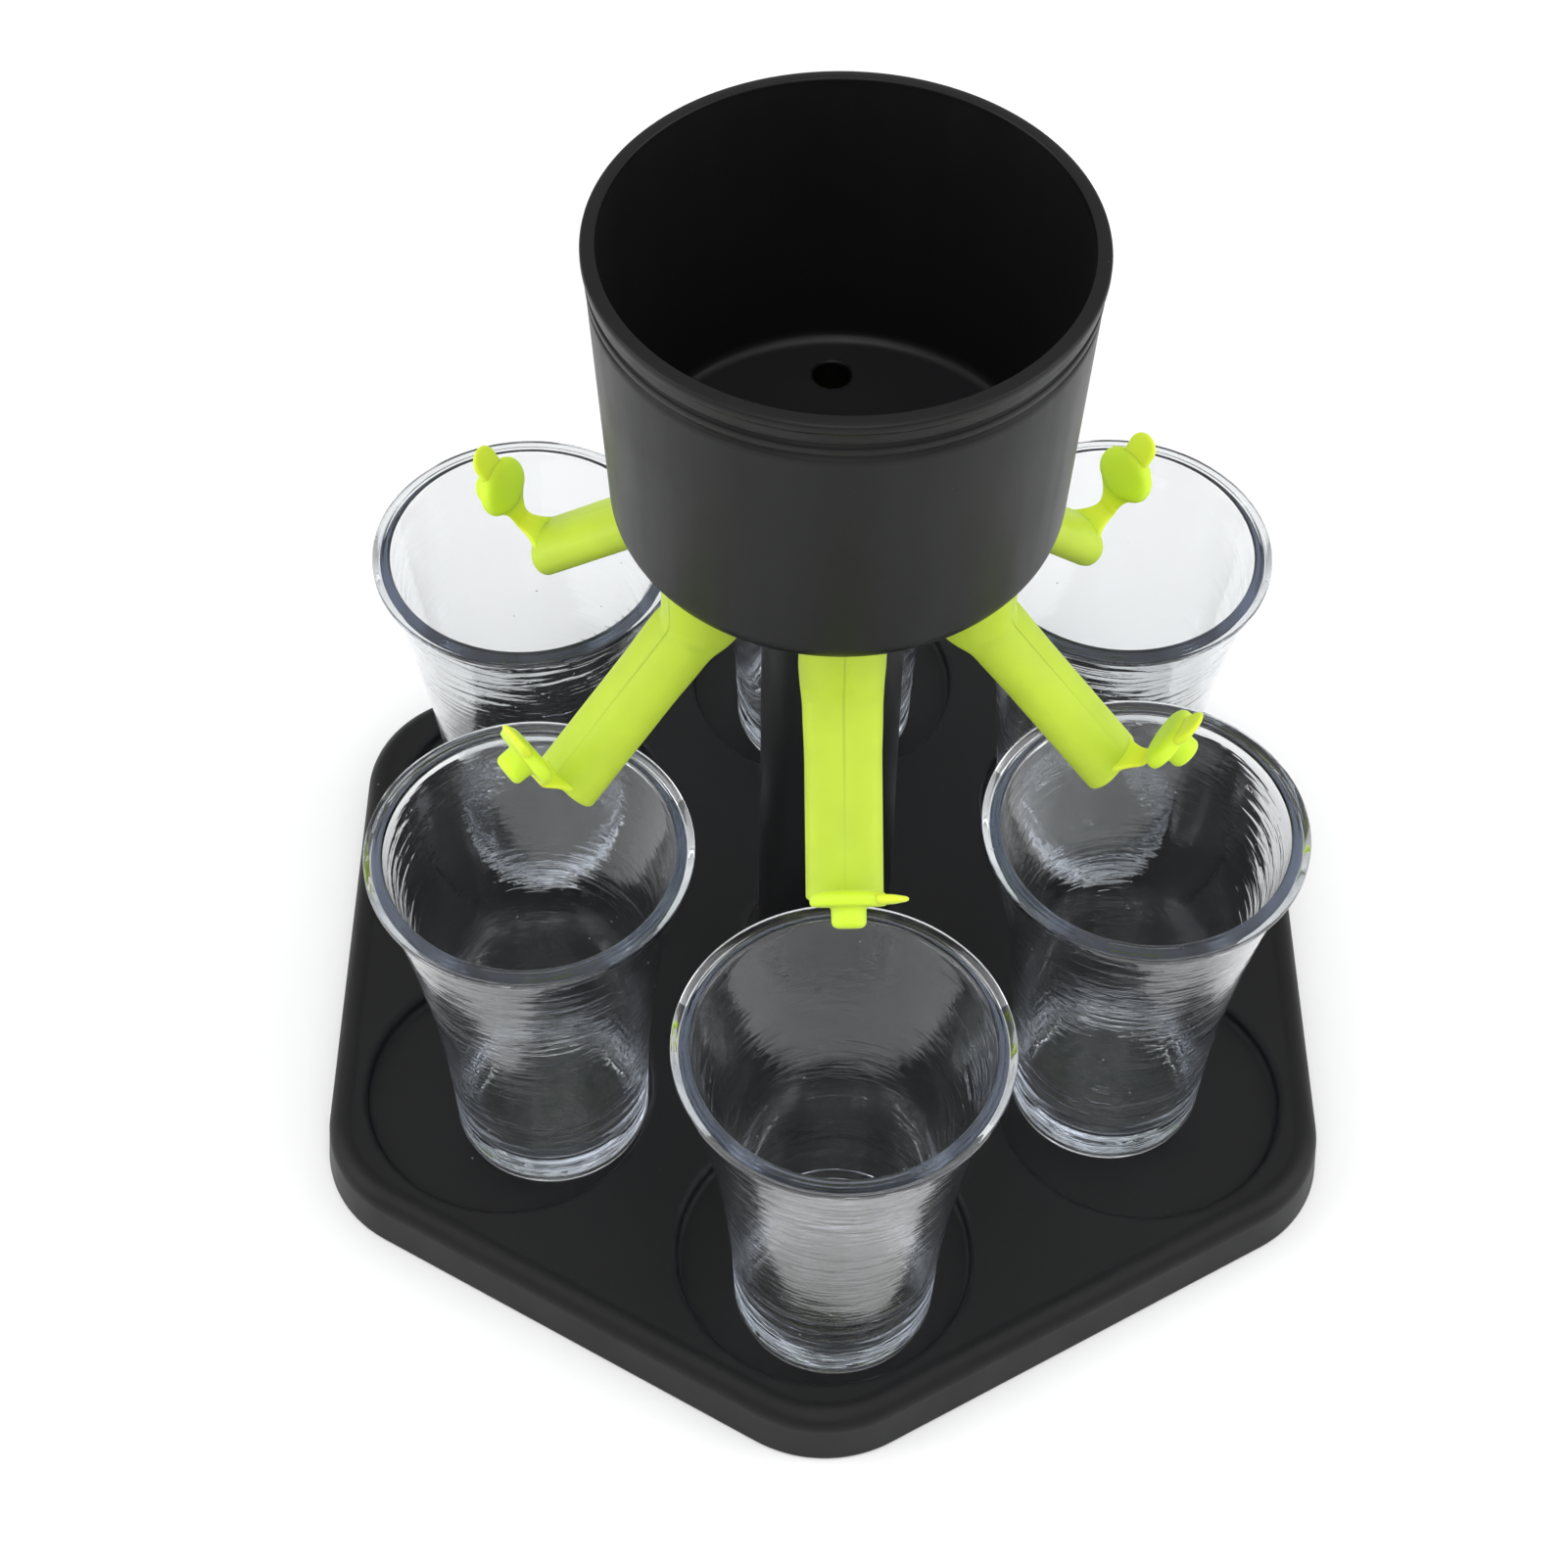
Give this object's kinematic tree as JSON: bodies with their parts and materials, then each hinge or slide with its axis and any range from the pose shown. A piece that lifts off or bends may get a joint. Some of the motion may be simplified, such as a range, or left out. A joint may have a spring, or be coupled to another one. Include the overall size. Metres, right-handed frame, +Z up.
{
  "type": "party shot dispenser",
  "caption": "Six-sided tray with a central post holding an open reservoir, whose soft capped spouts hang over a ring of clear shot glasses.",
  "frame": {"origin": "middle of the tray's footprint at the level it stands on, on the post's axis", "axes": "+Z up, -Y towards the pictured front corner of the tray, +X to the right as seen from the front; the tray's flat sides face +X and -X"},
  "size_m": [0.1772, 0.1974, 0.1807],
  "materials": {
    "black_plastic": "satin moulded",
    "lime_silicone": "soft matte silicone",
    "clear_plastic": "clear moulded plastic"
  },
  "bodies": {
    "base": {"tray": "black_plastic", "post": "black_plastic"},
    "reservoir": {"reservoir": "black_plastic", "nozzle_front": "lime_silicone", "nozzle_front_right": "lime_silicone", "nozzle_rear_right": "lime_silicone", "nozzle_rear": "lime_silicone", "nozzle_rear_left": "lime_silicone", "nozzle_front_left": "lime_silicone", "strap_front": "lime_silicone", "strap_front_right": "lime_silicone", "strap_rear_right": "lime_silicone", "strap_rear": "lime_silicone", "strap_rear_left": "lime_silicone", "strap_front_left": "lime_silicone"},
    "cap_front": {"cap_front": "lime_silicone"},
    "cap_front_right": {"cap_front_right": "lime_silicone"},
    "cap_rear_right": {"cap_rear_right": "lime_silicone"},
    "cap_rear": {"cap_rear": "lime_silicone"},
    "cap_rear_left": {"cap_rear_left": "lime_silicone"},
    "cap_front_left": {"cap_front_left": "lime_silicone"},
    "shot_glass_front": {"shot_glass_front": "clear_plastic"},
    "shot_glass_front_right": {"shot_glass_front_right": "clear_plastic"},
    "shot_glass_rear_right": {"shot_glass_rear_right": "clear_plastic"},
    "shot_glass_rear": {"shot_glass_rear": "clear_plastic"},
    "shot_glass_rear_left": {"shot_glass_rear_left": "clear_plastic"},
    "shot_glass_front_left": {"shot_glass_front_left": "clear_plastic"}
  },
  "joints": [
    {"name": "reservoir_lift", "type": "slide", "parent": "base", "child": "reservoir", "axis": [0, 0, 1], "range_m": [0, 0.05]},
    {"name": "cap_hinge_front", "type": "hinge", "parent": "reservoir", "child": "cap_front", "pos_m": [0.00174, -0.05627, 0.09862], "axis": [0.9996, 0.0279, 0], "range_deg": [-8, 187], "stiffness_Nm_per_rad": 0.002, "deforming": ["strap_front"]},
    {"name": "cap_hinge_front_right", "type": "hinge", "parent": "reservoir", "child": "cap_front_right", "pos_m": [0.04912, -0.02538, 0.09695], "axis": [0.4509, 0.8926, 0], "range_deg": [-8, 191], "stiffness_Nm_per_rad": 0.002, "deforming": ["strap_front_right"]},
    {"name": "cap_hinge_rear_right", "type": "hinge", "parent": "reservoir", "child": "cap_rear_right", "pos_m": [0.04642, 0.02926, 0.0963], "axis": [-0.5358, 0.8443, 0], "range_deg": [-8, 193], "stiffness_Nm_per_rad": 0.002, "deforming": ["strap_rear_right"]},
    {"name": "cap_hinge_rear", "type": "hinge", "parent": "reservoir", "child": "cap_rear", "pos_m": [-0.00195, 0.05577, 0.09778], "axis": [-0.9994, -0.0349, 0], "range_deg": [-8, 186], "stiffness_Nm_per_rad": 0.002, "deforming": ["strap_rear"]},
    {"name": "cap_hinge_rear_left", "type": "hinge", "parent": "reservoir", "child": "cap_rear_left", "pos_m": [-0.0518, 0.02271, 0.0993], "axis": [-0.3502, -0.9367, 0], "range_deg": [-8, 188], "stiffness_Nm_per_rad": 0.002, "deforming": ["strap_rear_left"]},
    {"name": "cap_hinge_front_left", "type": "hinge", "parent": "reservoir", "child": "cap_front_left", "pos_m": [-0.04607, -0.03252, 0.0989], "axis": [0.6101, -0.7923, 0], "range_deg": [-8, 202], "stiffness_Nm_per_rad": 0.002, "deforming": ["strap_front_left"]},
    {"name": "glass_out_front", "type": "slide", "parent": "base", "child": "shot_glass_front", "axis": [0.0167, -0.743, 0.6691], "range_m": [0, 0.11]},
    {"name": "glass_out_front_right", "type": "slide", "parent": "base", "child": "shot_glass_front_right", "axis": [0.8503, -0.4835, 0.2079], "range_m": [0, 0.11]},
    {"name": "glass_out_rear_right", "type": "slide", "parent": "base", "child": "shot_glass_rear_right", "axis": [0.8175, 0.5265, 0.2334], "range_m": [0, 0.11]},
    {"name": "glass_out_rear", "type": "slide", "parent": "base", "child": "shot_glass_rear", "axis": [0.0051, 0.9744, 0.225], "range_m": [0, 0.11]},
    {"name": "glass_out_rear_left", "type": "slide", "parent": "base", "child": "shot_glass_rear_left", "axis": [-0.8363, 0.4833, 0.2588], "range_m": [0, 0.11]},
    {"name": "glass_out_front_left", "type": "slide", "parent": "base", "child": "shot_glass_front_left", "axis": [-0.7909, -0.5656, 0.2334], "range_m": [0, 0.11]}
  ]
}
